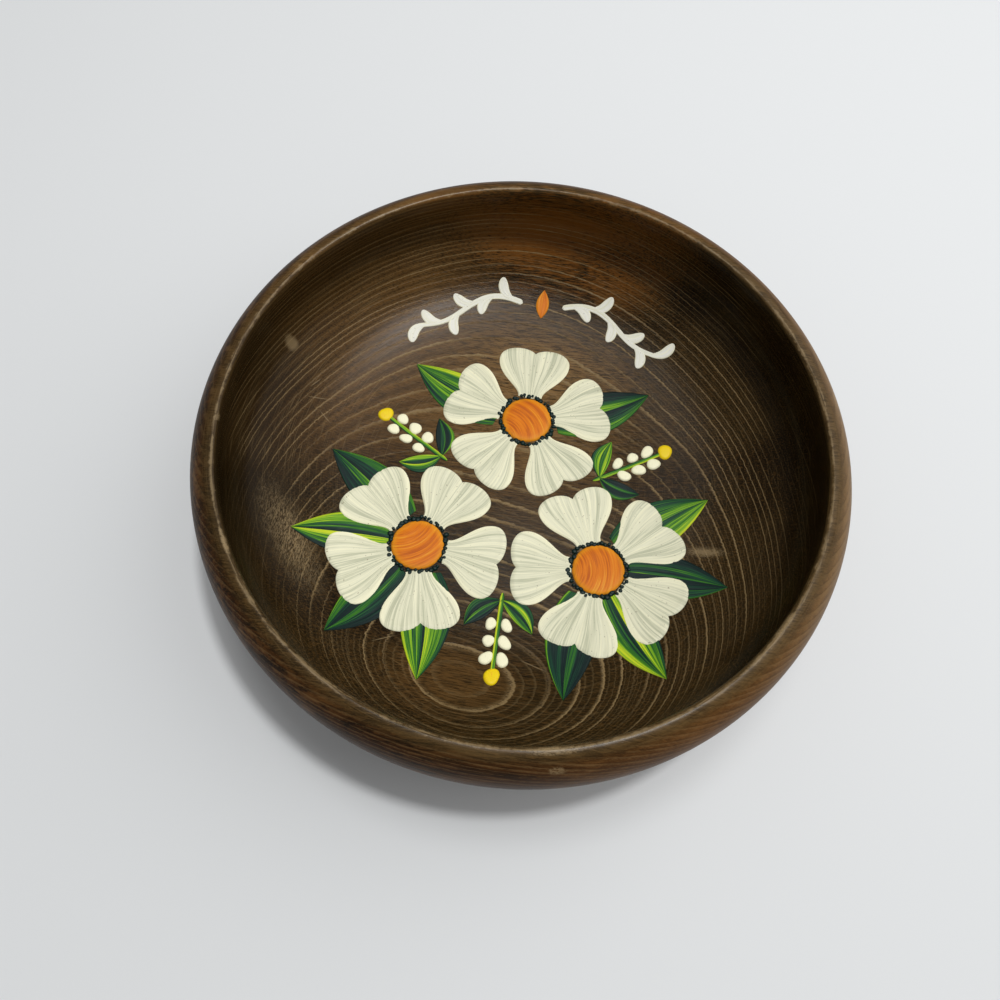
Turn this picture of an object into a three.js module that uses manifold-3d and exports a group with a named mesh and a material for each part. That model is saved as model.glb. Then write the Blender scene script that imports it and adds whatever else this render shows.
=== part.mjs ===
// A turned wooden snack bowl with three blossoms painted in its hollow.
// Millimetres, +Z up. The origin is the middle of the foot, on the surface that the bowl stands on.
// Each painted motif is a thin film of its own, laid over the wood and drawn from above.

import * as THREE from "three";
import { mergeVertices } from "three/addons/utils/BufferGeometryUtils.js";
import Module from "manifold-3d";

const manifold = await Module();
manifold.setup();

// Turned body
const BOWL_DIAMETER = 230;
const BOWL_HEIGHT = 58;
const SHOULDER_HEIGHT = 14;
const SHOULDER_WIDTH = 9.9;
const RIM_ROUNDING = 1.5;
const WALL_THICKNESS = 8.5;
const FLOOR_THICKNESS = 10;
const HOLLOW_WAIST_DROP = 18;
const HOLLOW_SQUARENESS = 3.6;
const FOOT_DIAMETER = 120;
const FOOT_HEIGHT = 3;
const FOOT_BEVEL = 1;
const FOOT_RING_WIDTH = 14;
const FOOT_RECESS_DEPTH = 1.5;

// Paint films
const FILM_THICKNESS = 0.4;
const FILM_CLEARANCE = 0.3;

// Posy of blossoms, a little below the middle of the hollow
const POSY_INSET = 32.5;
const POSY_DROP = 12;
const BLOSSOM_COUNT = 3;
const FIRST_BLOSSOM_BEARING = 90;
const BLOSSOM_GAP = 1.5;
const PETAL_COUNT = 5;
const PETAL_WIDTH = 30;
const PETAL_FOOT_WIDTH = 11;
const PETAL_NOTCH = 3;
const PETAL_CHEEK_SHARE = 0.72;
const PETAL_FOOT_PULL = 0.2;
const PETAL_CHEEK_PULL = 0.35;
const PETAL_LOBE_SHARE = 0.25;
const EYE_RADIUS = 10;
const EYE_HEIGHT = 1.6;
const EYE_EDGING_WIDTH = 1.6;

// Leaves that come out from behind the blossoms: at the sides of each, and at the back of all but the first
const LEAF_CLEARANCE = 1;
const SIDE_LEAF_REACH = 18;
const SIDE_LEAF_WIDTH = 19;
const SIDE_LEAF_SPREAD = 70;
const SIDE_LEAF_BEND = 3;
const BACK_LEAF_REACH = 13;
const BACK_LEAF_WIDTH = 18;
const BACK_LEAF_SPREAD = 27;
const BACK_LEAF_BEND = 1.5;

// Berry sprigs in the forks between the blossoms, each with a pair of leaves
const SPRIG_START_GAP = 14;
const SPRIG_SHORTFALL = 8;
const SPRIG_WIDTH = 1.8;
const BARE_STEM_LENGTH = 7;
const BERRY_PITCH = 6.5;
const BERRY_RADIUS = 2.4;
const BERRY_OFFSET = 2.9;
const TOP_BERRY_RADIUS = 3;
const SPRIG_LEAF_ROOT = 3;
const SPRIG_LEAF_LENGTH = 17;
const SPRIG_LEAF_WIDTH = 7.5;
const SPRIG_LEAF_SPREAD = 48;
const SPRIG_LEAF_BEND = 2;

// Pair of vines over the posy, with a bud between them
const VINE_INSET = 25;
const VINE_START = 6;
const VINE_SWEEP = 34;
const VINE_WIDTH = 2.4;
const VINE_WAVE = 3;
const VINE_LEAF_COUNT = 6;
const VINE_LEAF_LENGTH = 9;
const VINE_LEAF_WIDTH = 4.4;
const VINE_LEAF_BEND = 2;
const VINE_LEAF_SPREAD = 48;
const BUD_LENGTH = 12;
const BUD_WIDTH = 5.5;

// Fineness of the round shapes
const BODY_SIDES = 72;
const BELLY_STEPS = 8;
const SHOULDER_STEPS = 7;
const LIP_STEPS = 3;
const OVERHANG_STEPS = 4;
const HOLLOW_STEPS = 12;
const FIRST_PAINTED_STEP = 4;
const OUTLINE_STEPS = 5;
const DISC_SIDES = 32;
const DOME_STEPS = 4;
const VINE_STEPS = 14;

const QUARTER_TURN = Math.PI / 2;
const bowlRadius = BOWL_DIAMETER / 2;
const shoulderFoot = BOWL_HEIGHT - SHOULDER_HEIGHT;
const crestRadius = bowlRadius - SHOULDER_WIDTH;
const mouthRadius = crestRadius - RIM_ROUNDING;
const lipFoot = BOWL_HEIGHT - RIM_ROUNDING;
const hollowRadius = bowlRadius - WALL_THICKNESS;
const waistHeight = BOWL_HEIGHT - HOLLOW_WAIST_DROP;
const footRadius = FOOT_DIAMETER / 2;
const posyRadius = hollowRadius - POSY_INSET;
const blossomStep = (2 * Math.PI) / BLOSSOM_COUNT;
const neighbourShare = Math.sin(blossomStep / 2);
const blossomRadius = (posyRadius * neighbourShare - BLOSSOM_GAP / 2) / (1 + neighbourShare);
const blossomCircle = posyRadius - blossomRadius;
const forkNeck = blossomCircle * Math.cos(blossomStep / 2);
const sprigStart = forkNeck + SPRIG_START_GAP;
const sprigEnd = posyRadius - SPRIG_SHORTFALL;
const berryPairCount = Math.floor((sprigEnd - sprigStart - BARE_STEM_LENGTH) / BERRY_PITCH);
const petalStart = EYE_RADIUS + EYE_EDGING_WIDTH + 2 * FILM_CLEARANCE;

const walnutStain = finish(0x4a3220, 0.45);
const creamPaint = finish(0xe6e2cc, 0.4);
const orangePaint = finish(0xdd6d1e, 0.4);
const yellowPaint = finish(0xeccd1c, 0.4);
const blackGreenPaint = finish(0x0c221c, 0.4);
const darkGreenPaint = finish(0x123f2c, 0.4);
const leafGreenPaint = finish(0x4c8a1f, 0.4);

const bowl = new THREE.Group();

function finish(color, roughness) {
  return new THREE.MeshStandardMaterial({ color, roughness, metalness: 0 });
}

function addPiece(name, geometry, material) {
  const mesh = new THREE.Mesh(geometry, material);
  mesh.name = name;
  bowl.add(mesh);
}

// Points of a curve, from a function of a share between 0 and 1.
function sweep(steps, place) {
  return Array.from({ length: steps + 1 }, (_, i) => place(i / steps));
}

function point(radius, height) {
  return new THREE.Vector2(radius, height);
}

// A lathe turns its profile about Y, so it is stood up to turn about Z.
function lathe(profile, sides) {
  return new THREE.LatheGeometry(profile, sides).rotateX(QUARTER_TURN);
}

function toSolid(geometry) {
  const bare = geometry.clone();
  bare.deleteAttribute("normal");
  bare.deleteAttribute("uv");
  const merged = mergeVertices(bare, 1e-4);
  return new manifold.Manifold(new manifold.Mesh({
    numProp: 3,
    vertProperties: merged.attributes.position.array,
    triVerts: new Uint32Array(merged.index.array),
  }));
}

function toGeometry(solid) {
  const mesh = solid.getMesh();
  const geometry = new THREE.BufferGeometry();
  geometry.setAttribute("position", new THREE.BufferAttribute(mesh.vertProperties, 3));
  geometry.setIndex(new THREE.BufferAttribute(mesh.triVerts, 1));
  geometry.computeVertexNormals();
  return geometry;
}

// The hollow below its waist is a superellipse: upright at the waist, nearly flat in the middle.
function hollowPoint(share) {
  const angle = share * QUARTER_TURN;
  const radius = share < 1 ? hollowRadius * Math.cos(angle) ** (2 / HOLLOW_SQUARENESS) : 0;
  return point(radius, waistHeight - (waistHeight - FLOOR_THICKNESS) * Math.sin(angle));
}

// The same superellipse, read as the height of the wood at a distance from the axis.
function hollowHeight(radius) {
  const flatness = Math.sqrt(1 - (radius / hollowRadius) ** HOLLOW_SQUARENESS);
  return waistHeight - (waistHeight - FLOOR_THICKNESS) * flatness;
}

// The foot is a low disc whose underside is dished, so that the bowl stands on a ring.
function footProfile() {
  const recessRadius = footRadius - FOOT_RING_WIDTH;
  return [
    point(0, FOOT_RECESS_DEPTH),
    point(recessRadius - FOOT_RECESS_DEPTH, FOOT_RECESS_DEPTH),
    point(recessRadius, 0),
    point(footRadius - FOOT_BEVEL, 0),
    point(footRadius, FOOT_BEVEL),
  ];
}

// The belly and the shoulder are quarter ellipses that meet where the bowl is widest.
function outerProfile() {
  const belly = sweep(BELLY_STEPS, (share) => point(
    footRadius + (bowlRadius - footRadius) * Math.sin(share * QUARTER_TURN),
    shoulderFoot - (shoulderFoot - FOOT_HEIGHT) * Math.cos(share * QUARTER_TURN),
  ));
  const shoulder = sweep(SHOULDER_STEPS, (share) => point(
    crestRadius + SHOULDER_WIDTH * Math.cos(share * QUARTER_TURN),
    shoulderFoot + SHOULDER_HEIGHT * Math.sin(share * QUARTER_TURN),
  ));
  return [...belly, ...shoulder.slice(1)];
}

// The rim rounds over into a wall that leans out to the waist, then the hollow runs down to the middle.
function innerProfile() {
  const lip = sweep(LIP_STEPS, (share) => point(
    crestRadius - RIM_ROUNDING * Math.sin(share * QUARTER_TURN),
    lipFoot + RIM_ROUNDING * Math.cos(share * QUARTER_TURN),
  ));
  const overhang = sweep(OVERHANG_STEPS, (share) => point(
    mouthRadius + ((hollowRadius - mouthRadius) * (1 - Math.cos(share * Math.PI))) / 2,
    lipFoot - (lipFoot - waistHeight) * share,
  ));
  const hollow = sweep(HOLLOW_STEPS, hollowPoint);
  return [...lip.slice(1), ...overhang.slice(1), ...hollow.slice(1)];
}

// The space that the paint fills: a dished sheet over the painted part of the hollow.
function paintSheet() {
  const rings = sweep(HOLLOW_STEPS, hollowPoint).slice(FIRST_PAINTED_STEP).reverse();
  const under = rings.map((ring) => point(ring.x, ring.y + FILM_CLEARANCE));
  const over = rings.map((ring) => point(ring.x, ring.y + FILM_CLEARANCE + FILM_THICKNESS));
  return toSolid(lathe([...under, ...over.reverse()], BODY_SIDES));
}

const paintedSheet = paintSheet();

// An upright prism over an outline that is drawn from above, turned and moved to its place.
function prism(shape, turn = 0, x = 0, y = 0) {
  const options = { depth: BOWL_HEIGHT, bevelEnabled: false, curveSegments: OUTLINE_STEPS };
  return toSolid(new THREE.ExtrudeGeometry(shape, options).rotateZ(turn).translate(x, y, 0));
}

function post(radius, x, y) {
  const cylinder = new THREE.CylinderGeometry(radius, radius, BOWL_HEIGHT, DISC_SIDES);
  return toSolid(cylinder.rotateX(QUARTER_TURN).translate(x, y, BOWL_HEIGHT / 2));
}

// An upright slab along a bearing from the posy's middle, between two distances from it.
function slab(bearing, near, far, width) {
  const box = new THREE.BoxGeometry(far - near, width, BOWL_HEIGHT).rotateZ(bearing);
  const middle = posyPlace(bearing, (near + far) / 2);
  return toSolid(box.translate(middle.x, middle.y, BOWL_HEIGHT / 2));
}

function join(solids) {
  return solids.reduce((whole, next) => whole.add(next));
}

// One film: what the sheet of paint has inside the outline.
function film(outline) {
  return toGeometry(outline.intersect(paintedSheet));
}

// A place given by bearing and distance from the posy's middle.
function posyPlace(bearing, distance) {
  return point(distance * Math.cos(bearing), distance * Math.sin(bearing) - POSY_DROP);
}

// A heart-shaped petal along X: a narrow foot, full cheeks and a notch in its outer edge.
function petalShape() {
  const length = blossomRadius - petalStart;
  const tip = petalStart + length;
  const cheek = petalStart + length * PETAL_CHEEK_SHARE;
  const footPull = petalStart + length * PETAL_FOOT_PULL;
  const cheekPull = cheek - length * PETAL_CHEEK_PULL;
  const lobe = tip + PETAL_NOTCH / 2;
  const notch = tip - PETAL_NOTCH;
  const half = PETAL_WIDTH / 2;
  const foot = PETAL_FOOT_WIDTH / 2;
  const lobeHalf = half * PETAL_LOBE_SHARE;
  const shape = new THREE.Shape();
  shape.moveTo(petalStart, -foot);
  shape.bezierCurveTo(footPull, -foot, cheekPull, -half, cheek, -half);
  shape.bezierCurveTo(tip, -half, lobe, -lobeHalf, notch, 0);
  shape.bezierCurveTo(lobe, lobeHalf, tip, half, cheek, half);
  shape.bezierCurveTo(cheekPull, half, footPull, foot, petalStart, foot);
  return shape;
}

// A pointed leaf along X whose midrib bows sideways by bend.
function leafShape(length, width, bend) {
  const near = length / 3;
  const far = 2 * near;
  const belly = width * (2 / 3);
  const bow = bend * (4 / 3);
  const shape = new THREE.Shape();
  shape.moveTo(0, 0);
  shape.bezierCurveTo(near, bow - belly, far, bow - belly, length, 0);
  shape.bezierCurveTo(far, bow + belly, near, bow + belly, 0, 0);
  return shape;
}

// A low dome whose every point stands over the wood below it.
function eyeDome(x, y) {
  const crown = sweep(DOME_STEPS, (share) => point(
    share < 1 ? EYE_RADIUS * Math.cos(share * QUARTER_TURN) : 0,
    FILM_THICKNESS + (EYE_HEIGHT - FILM_THICKNESS) * Math.sin(share * QUARTER_TURN),
  ));
  const dome = lathe([point(0, 0), point(EYE_RADIUS, 0), ...crown], DISC_SIDES).translate(x, y, 0);
  const places = dome.getAttribute("position");
  for (let i = 0; i < places.count; i += 1) {
    const wood = hollowHeight(Math.hypot(places.getX(i), places.getY(i)));
    places.setZ(i, places.getZ(i) + wood + FILM_CLEARANCE);
  }
  return toGeometry(toSolid(dome));
}

function addBlossom(number, bearing) {
  const { x, y } = posyPlace(bearing, blossomCircle);
  const edgingInner = EYE_RADIUS + FILM_CLEARANCE;
  const edging = post(edgingInner + EYE_EDGING_WIDTH, x, y).subtract(post(edgingInner, x, y));
  addPiece(`blossom_${number}_eye`, eyeDome(x, y), orangePaint);
  addPiece(`blossom_${number}_edging`, film(edging), blackGreenPaint);
  for (let i = 0; i < PETAL_COUNT; i += 1) {
    const turn = bearing + (2 * Math.PI * i) / PETAL_COUNT;
    addPiece(`blossom_${number}_petal_${i + 1}`, film(prism(petalShape(), turn, x, y)), creamPaint);
  }
}

// A berry beside the sprig's stem, or on it where the offset is nothing.
function berry(bearing, distance, offset, radius) {
  const place = posyPlace(bearing, distance);
  const x = place.x - offset * Math.sin(bearing);
  const y = place.y + offset * Math.cos(bearing);
  return post(radius, x, y);
}

// A leaf beside the stem, kept clear of it and of the blossoms.
function addSprigLeaf(name, bearing, hand, blossoms, material) {
  const root = posyPlace(bearing, sprigStart + SPRIG_LEAF_ROOT);
  const turn = bearing + hand * THREE.MathUtils.degToRad(SPRIG_LEAF_SPREAD);
  const outline = leafShape(SPRIG_LEAF_LENGTH, SPRIG_LEAF_WIDTH, hand * SPRIG_LEAF_BEND);
  const stem = slab(bearing, sprigStart, sprigEnd, SPRIG_WIDTH + 2 * FILM_CLEARANCE);
  const blade = prism(outline, turn, root.x, root.y).subtract(stem).subtract(blossoms);
  addPiece(name, film(blade), material);
}

// A thin stem with a berry at its top and pairs of berries below it.
function addSprig(name, bearing) {
  const stem = slab(bearing, sprigStart, sprigEnd, SPRIG_WIDTH);
  const top = berry(bearing, sprigEnd, 0, TOP_BERRY_RADIUS);
  const pairs = Array.from({ length: berryPairCount }, (_, i) => {
    const distance = sprigEnd - BERRY_PITCH * (i + 1);
    const beside = (hand) => berry(bearing, distance, hand * BERRY_OFFSET, BERRY_RADIUS);
    return join([beside(-1), beside(1)]);
  });
  addPiece(name, film(join([stem, top, ...pairs])), yellowPaint);
}

// A leaf is rooted under the middle of its blossom and shows only beyond the petals.
function addLeaf(name, bearing, hand, { spread, reach, width, bend }, blossoms, material) {
  const { x, y } = posyPlace(bearing, blossomCircle);
  const turn = bearing + hand * THREE.MathUtils.degToRad(spread);
  const blade = prism(leafShape(blossomRadius + reach, width, hand * bend), turn, x, y);
  addPiece(name, film(blade.subtract(blossoms)), material);
}

// A place on a vine's wavy middle line. The vines run both ways from the top of the hollow.
function vinePlace(hand, share) {
  const angle = THREE.MathUtils.degToRad(VINE_START + VINE_SWEEP * share);
  const radius = hollowRadius - VINE_INSET + VINE_WAVE * Math.sin(2 * Math.PI * share);
  const bearing = QUARTER_TURN + hand * angle;
  return point(radius * Math.cos(bearing), radius * Math.sin(bearing));
}

function vineHeading(hand, share) {
  const step = 0.01;
  return vinePlace(hand, share + step).sub(vinePlace(hand, share - step)).angle();
}

function addVine(name, hand) {
  const edge = (side) => (share) => {
    const across = vineHeading(hand, share) + side * QUARTER_TURN;
    const offset = point(Math.cos(across), Math.sin(across)).multiplyScalar(VINE_WIDTH / 2);
    return vinePlace(hand, share).add(offset);
  };
  const stem = new THREE.Shape([...sweep(VINE_STEPS, edge(-1)), ...sweep(VINE_STEPS, edge(1)).reverse()]);
  const leaves = Array.from({ length: VINE_LEAF_COUNT }, (_, i) => {
    const share = (i + 0.5) / VINE_LEAF_COUNT;
    const side = i % 2 ? 1 : -1;
    const root = vinePlace(hand, share);
    const turn = vineHeading(hand, share) + side * THREE.MathUtils.degToRad(VINE_LEAF_SPREAD);
    const blade = leafShape(VINE_LEAF_LENGTH, VINE_LEAF_WIDTH, -side * VINE_LEAF_BEND);
    return prism(blade, turn, root.x, root.y);
  });
  addPiece(name, film(join([prism(stem), ...leaves])), creamPaint);
}

function addBud() {
  const root = hollowRadius - VINE_INSET - BUD_LENGTH / 2;
  const bud = prism(leafShape(BUD_LENGTH, BUD_WIDTH, 0), QUARTER_TURN, 0, root);
  addPiece("vine_bud", film(bud), orangePaint);
}

const bodyProfile = [...footProfile(), ...outerProfile(), ...innerProfile()];
addPiece("bowl_body", toGeometry(toSolid(lathe(bodyProfile, BODY_SIDES))), walnutStain);

const firstBearing = THREE.MathUtils.degToRad(FIRST_BLOSSOM_BEARING);
const blossomBearings = Array.from({ length: BLOSSOM_COUNT }, (_, i) => firstBearing + i * blossomStep);
const blossomDiscs = join(blossomBearings.map((bearing) => {
  const { x, y } = posyPlace(bearing, blossomCircle);
  return post(blossomRadius + LEAF_CLEARANCE, x, y);
}));
const sideLeaf = {
  spread: SIDE_LEAF_SPREAD,
  reach: SIDE_LEAF_REACH,
  width: SIDE_LEAF_WIDTH,
  bend: SIDE_LEAF_BEND,
};
const backLeaf = {
  spread: BACK_LEAF_SPREAD,
  reach: BACK_LEAF_REACH,
  width: BACK_LEAF_WIDTH,
  bend: BACK_LEAF_BEND,
};

blossomBearings.forEach((bearing, i) => {
  const number = i + 1;
  addBlossom(number, bearing);
  addLeaf(`side_leaf_${number}_left`, bearing, 1, sideLeaf, blossomDiscs, leafGreenPaint);
  addLeaf(`side_leaf_${number}_right`, bearing, -1, sideLeaf, blossomDiscs, darkGreenPaint);
  if (i > 0) {
    addLeaf(`back_leaf_${number}_left`, bearing, 1, backLeaf, blossomDiscs, darkGreenPaint);
    addLeaf(`back_leaf_${number}_right`, bearing, -1, backLeaf, blossomDiscs, leafGreenPaint);
  }
  const forkBearing = bearing + blossomStep / 2;
  addSprig(`berry_sprig_${number}`, forkBearing);
  addSprigLeaf(`sprig_leaf_${number}_left`, forkBearing, 1, blossomDiscs, leafGreenPaint);
  addSprigLeaf(`sprig_leaf_${number}_right`, forkBearing, -1, blossomDiscs, darkGreenPaint);
});

addVine("vine_left", 1);
addVine("vine_right", -1);
addBud();

export default bowl;
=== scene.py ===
# Dresses a turned wooden bowl with its stained wood and the posy painted in its hollow.
# Everything is in metres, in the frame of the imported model.

import math

import bpy
import numpy as np
from bpy.props import FloatProperty, FloatVectorProperty, IntProperty, PointerProperty
from mathutils import Matrix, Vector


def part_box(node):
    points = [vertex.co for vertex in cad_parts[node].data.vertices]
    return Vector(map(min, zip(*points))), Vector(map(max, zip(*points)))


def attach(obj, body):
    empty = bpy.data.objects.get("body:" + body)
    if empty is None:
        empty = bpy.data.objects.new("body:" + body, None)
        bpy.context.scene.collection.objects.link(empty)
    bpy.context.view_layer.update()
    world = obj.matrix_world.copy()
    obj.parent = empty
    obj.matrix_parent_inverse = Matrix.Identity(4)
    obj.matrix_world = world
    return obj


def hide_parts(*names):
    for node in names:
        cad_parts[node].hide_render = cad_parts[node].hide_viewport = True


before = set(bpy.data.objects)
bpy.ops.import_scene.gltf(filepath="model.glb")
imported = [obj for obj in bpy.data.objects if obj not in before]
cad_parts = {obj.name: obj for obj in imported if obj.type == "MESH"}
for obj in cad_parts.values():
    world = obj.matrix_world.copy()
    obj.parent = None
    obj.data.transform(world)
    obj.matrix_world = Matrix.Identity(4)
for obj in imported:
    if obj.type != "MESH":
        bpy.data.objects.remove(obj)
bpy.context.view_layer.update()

bl_info = {
    "name": "Painted wooden bowl",
    "version": (1, 0, 0),
    "blender": (4, 5, 0),
    "location": "3D Viewport > Sidebar > Bowl",
    "description": "Builds the wood and the painted posy of a turned bowl",
    "category": "Object",
}

MM = 0.001
BODY = "root"
IMAGE_WIDTH = 1000
SENSOR_WIDTH = 36
BLOSSOM_NUMBERS = (1, 2, 3)
PETAL_COUNT = 5
DAB_COUNT = 46
BERRY_PAIRS = 3
HANDS = (("left", 1), ("right", -1))
FLOOR_REACH = 3

# Steps along and across the strokes, and from the middle out and round the dabs.
PETAL_STEPS = (48, 61)
LEAF_STEPS = (40, 21)
STEM_STEPS = (30, 9)
VINE_STEPS = (90, 13)
VINE_LEAF_STEPS = (26, 13)
BUD_STEPS = (30, 17)
EYE_STEPS = (22, 72)
BERRY_STEPS = (6, 24)
DAB_STEPS = (3, 12)

# The least and the most, in metres: from the eye's edge to the middle of an edging dab, and its radius.
EDGING_REACH = (0.0002, 0.0017)
EDGING_RADIUS = (0.00075, 0.00125)
EDGING_FILM = 0.0007

# How far the edges of the eyes and of the dabs are from round, as shares of their radius.
EYE_UNEVEN = 0.008
DAB_UNEVEN = 0.08

# Half the width of the bud's blunt tips, and how near to the camera things still show, in metres.
BUD_TIP = 0.0001
CLIP_START = 0.01

# How many times as thick as a leaf's paint that of the vines and of the bud lies.
VINE_FILM = 1.3
BUD_FILM = 1.4

# How far apart the tones of two strokes lie in the noise that streaks them.
TONE_SPREAD = 7.3

# What is drawn at random has a seed for each kind of piece.
PETAL_SEED = 11
EYE_SEED = 40
EDGING_SEED = 77
LEAF_SEED = 5
SPRIG_SEED = 23
VINE_SEED = 31

# How far the curves of a petal's sides and crown pull, as shares of its length and of half its width.
FOOT_PULL = 0.2
CHEEK_PULL = 0.35
LOBE_SHARE = 0.25

# Bristle marks: half waves from the middle of a stroke or a petal to its edge.
STROKE_BRISTLES = (3.1, 4.7, 6.4, 8.9)
PETAL_BRISTLES = (4.1, 6.7, 9.4, 13.9, 17.3)

# Marks on the wood, seen from above: the middle in mm, the bearing in degrees, and half the length and half
# the width in mm. The scratches share one width.
# The thin stain and the pale wood at the hollow's middle are also painted sheen.
THIN_STAIN_AND_SHEEN = ((-2, 24), 0, 72, 54)
PALE_WOOD_AND_SHEEN = ((-5, 38), 0, 52, 40)
OVAL_RINGS = ((0, -78), 0, 42, 24)
OVAL_HEART = ((-14, -80), 0, 28, 15)
PALE_SPOT = ((-96, 37.4), 159, 2.0, 2.9)
SCUFF = ((-80, -39), -55, 25, 7.5)
SMEAR = ((74, -20.5), 0, 8.5, 2.6)
SCRATCH_HALF_WIDTH = 0.28
SCRATCHES = (
    ((14, -72), -17, 6),
    ((24, -76), 12, 4),
    ((-84, 21), 10, 5),
    ((-86, 27), 55, 3.5),
    ((-80, 14), -40, 4),
    ((58, 38), -35, 7),
    ((-40, -70), 25, 5),
)
RIM_PATCHES = (
    ((22, -102.7), 12, 9, 1.3),
    ((22.5, -108.2), 12, 3.0, 1.2),
    ((87.2, -56.6), 57, 6, 0.9),
    ((107.5, 27.4), -76, 5, 1.0),
    ((-103.4, -12.2), 83, 1.6, 1.0),
    ((-89, -55), -58, 6, 0.9),
)

# Lamps: name, place and width in metres. Their powers are in the stage's settings.
LAMPS = (
    ("window", (1.01, 0.52, 0.9), 1.8),
    ("ceiling", (0.26, 0.17, 1.47), 0.14),
    ("far_ceiling", (0.0, 0.34, 1.47), 0.40),
)

bowl_low, bowl_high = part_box("bowl_body")
bowl_radius = (bowl_high.x - bowl_low.x) / 2
bowl_height = bowl_high.z


def tint(code):
    """A linear colour from six hexadecimal digits."""
    shares = [int(code[i:i + 2], 16) / 255 for i in (0, 2, 4)]
    return tuple(s / 12.92 if s <= 0.04045 else ((s + 0.055) / 1.055) ** 2.4 for s in shares)


def size(label, text, default):
    return FloatProperty(name=label, description=text, default=default, unit="LENGTH", precision=5)


def share(label, text, default):
    return FloatProperty(name=label, description=text, default=default, min=0, max=1, subtype="FACTOR")


def amount(label, text, default):
    return FloatProperty(name=label, description=text, default=default)


def turn(label, text, degrees):
    return FloatProperty(name=label, description=text, default=math.radians(degrees), subtype="ANGLE")


def count(label, text, default):
    return IntProperty(name=label, description=text, default=default, min=1)


def colour(label, text, code):
    return FloatVectorProperty(name=label, description=text, default=tint(code), size=3, subtype="COLOR")


class BowlShape(bpy.types.PropertyGroup):
    """Sizes of the turned body."""

    shoulder_height: size("Shoulder height", "From the widest ring up to the rim", 0.014)
    shoulder_width: size("Shoulder width", "How far the shoulder draws in", 0.0099)
    rim_rounding: size("Rim rounding", "Radius of the rim's inner edge", 0.0015)
    wall: size("Wall", "Wall thickness at the widest ring", 0.0085)
    floor: size("Floor", "Wood under the middle of the hollow", 0.010)
    waist_drop: size("Waist drop", "From the rim down to the widest part of the hollow", 0.018)
    squareness: amount("Squareness", "Exponent of the hollow's superellipse", 3.6)
    foot_diameter: size("Foot diameter", "Diameter of the foot", 0.120)
    foot_height: size("Foot height", "Height of the foot", 0.003)
    foot_bevel: size("Foot bevel", "Bevel at the foot's lower edge", 0.001)
    foot_ring: size("Foot ring", "Width of the ring that the bowl stands on", 0.014)
    foot_recess: size("Foot recess", "Depth of the dish inside the ring", 0.0015)
    sides: count("Sides", "Steps round the bowl", 360)


class PosyShape(bpy.types.PropertyGroup):
    """Sizes of the painted blossoms, leaves and sprigs."""

    petal_tip: size("Petal tip", "From the middle of a blossom to the tips of its petals", 0.0339)
    petal_start: size("Petal start", "From the middle of a blossom to the feet of its petals", 0.0108)
    petal_width: size("Petal width", "Width of a petal at its cheeks", 0.0296)
    petal_foot: size("Petal foot", "Width of a petal at its foot", 0.0098)
    petal_notch: size("Petal notch", "Depth of the notch in a petal's outer edge", 0.0030)
    petal_cheek: share("Petal cheek", "Where along a petal its cheeks are", 0.72)
    eye_radius: size("Eye radius", "Radius of the blossom's eye", 0.010)
    eye_height: size("Eye height", "How far the eye swells over the wood", 0.0011)
    leaf_gap: size("Leaf gap", "From the edge of a blossom's eye to where its leaves begin", 0.0013)
    leaf_tip: size("Leaf tip", "How far the blunt tip of a leaf reaches to each side", 0.00008)
    side_reach: size("Side leaf reach", "How far a side leaf comes out past the petals", 0.018)
    side_width: size("Side leaf width", "Width of a side leaf", 0.019)
    side_spread: turn("Side leaf spread", "Angle of a side leaf from its blossom's bearing", 70)
    side_bend: size("Side leaf bend", "Bow of a side leaf's midrib", 0.003)
    back_reach: size("Back leaf reach", "How far a back leaf comes out past the petals", 0.013)
    back_width: size("Back leaf width", "Width of a back leaf", 0.018)
    back_spread: turn("Back leaf spread", "Angle of a back leaf from its blossom's bearing", 27)
    back_bend: size("Back leaf bend", "Bow of a back leaf's midrib", 0.0015)
    berry_pitch: size("Berry pitch", "Distance between pairs of berries", 0.0065)
    berry_radius: size("Berry radius", "Radius of a paired berry", 0.0024)
    berry_offset: size("Berry offset", "From the stem to a paired berry", 0.0029)
    top_berry_radius: size("Top berry radius", "Radius of the berry at the tip", 0.0030)
    stem_width: size("Stem width", "Width of a sprig's stem", 0.0018)
    sprig_start: size("Sprig start", "From the posy's middle to the lower end of a sprig", 0.034)
    sprig_end: size("Sprig end", "From the posy's middle to the tip of a sprig", 0.066)
    sprig_leaf_root: size("Sprig leaf root", "From a sprig's lower end to its leaves", 0.003)
    sprig_leaf_length: size("Sprig leaf length", "Length of a sprig's leaf", 0.017)
    sprig_leaf_width: size("Sprig leaf width", "Width of a sprig's leaf", 0.0075)
    sprig_leaf_spread: turn("Sprig leaf spread", "Angle between a sprig's leaf and its stem", 48)
    sprig_leaf_bend: size("Sprig leaf bend", "Bow of a sprig leaf's midrib", 0.002)


class VineShape(bpy.types.PropertyGroup):
    """Sizes of the pair of vines over the posy."""

    inset: size("Inset", "From the wall of the hollow to the vines' middle line", 0.025)
    start: turn("Start", "Angle from the top of the bowl to a vine's first end", 6)
    sweep: turn("Sweep", "Angle that a vine takes", 34)
    wave: size("Wave", "Swing of the stem to each side", 0.003)
    stem_width: size("Stem width", "Width of the stem", 0.0024)
    leaf_count: count("Leaves", "Leaves on each vine", 6)
    leaf_length: size("Leaf length", "Length of a leaf", 0.0095)
    leaf_width: size("Leaf width", "Width of a leaf", 0.0044)
    leaf_bend: size("Leaf bend", "Bow of a leaf", 0.002)
    leaf_spread: turn("Leaf spread", "Angle between a leaf and the stem", 48)
    bud_length: size("Bud length", "Length of the bud", 0.012)
    bud_width: size("Bud width", "Width of the bud", 0.0055)


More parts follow.
